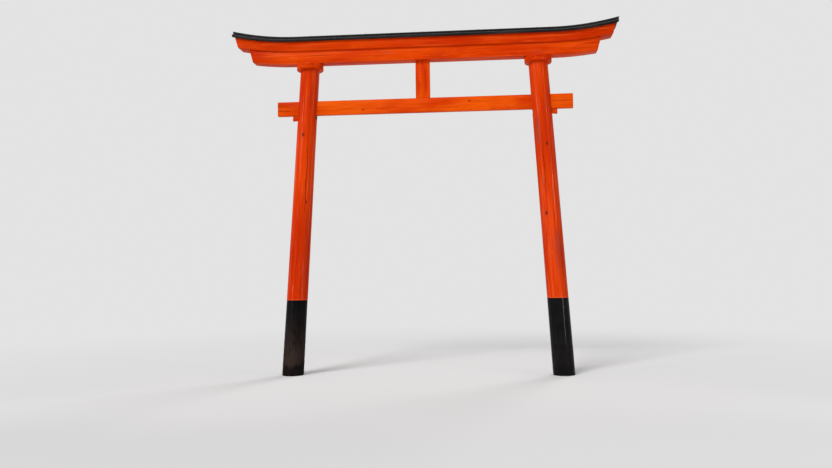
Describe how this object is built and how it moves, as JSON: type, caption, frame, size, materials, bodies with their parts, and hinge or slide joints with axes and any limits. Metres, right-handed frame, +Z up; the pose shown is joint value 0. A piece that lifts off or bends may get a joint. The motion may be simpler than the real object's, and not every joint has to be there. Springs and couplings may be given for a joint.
{
  "type": "torii gate",
  "caption": "Torii gate with round vermilion posts that lean inward, black root sleeves, a wedged tie beam, a strut, and upswept lintels under a black boarded roof.",
  "frame": {"origin": "centre of the left post's foot face, at ground level", "axes": "+X to the right post's foot, +Y through the passage, +Z up"},
  "size_m": [3.2852, 0.226, 2.9587],
  "materials": {
    "left_post_paint": "vermilion paint with a satin gloss",
    "right_post_paint": "vermilion paint with a satin gloss",
    "left_sleeve_black": "black paint, dusty near the ground",
    "right_sleeve_black": "black paint, dusty near the ground",
    "ring_paint": "vermilion paint with a satin gloss",
    "beam_paint": "vermilion paint over sawn grain",
    "wedge_paint": "vermilion paint",
    "strut_paint": "vermilion paint over sawn grain",
    "lintel_paint": "vermilion paint over sawn grain",
    "roof_black": "weathered black paint"
  },
  "bodies": {
    "root": {"left_post": "left_post_paint", "right_post": "right_post_paint", "left_root_sleeve": "left_sleeve_black", "right_root_sleeve": "right_sleeve_black", "left_ring": "ring_paint", "right_ring": "ring_paint", "tie_beam": "beam_paint", "left_wedge": "wedge_paint", "right_wedge": "wedge_paint", "centre_strut": "strut_paint", "lower_lintel": "lintel_paint", "upper_lintel": "lintel_paint", "front_roof_board": "roof_black", "back_roof_board": "roof_black", "ridge_cap": "roof_black"}
  },
  "joints": []
}
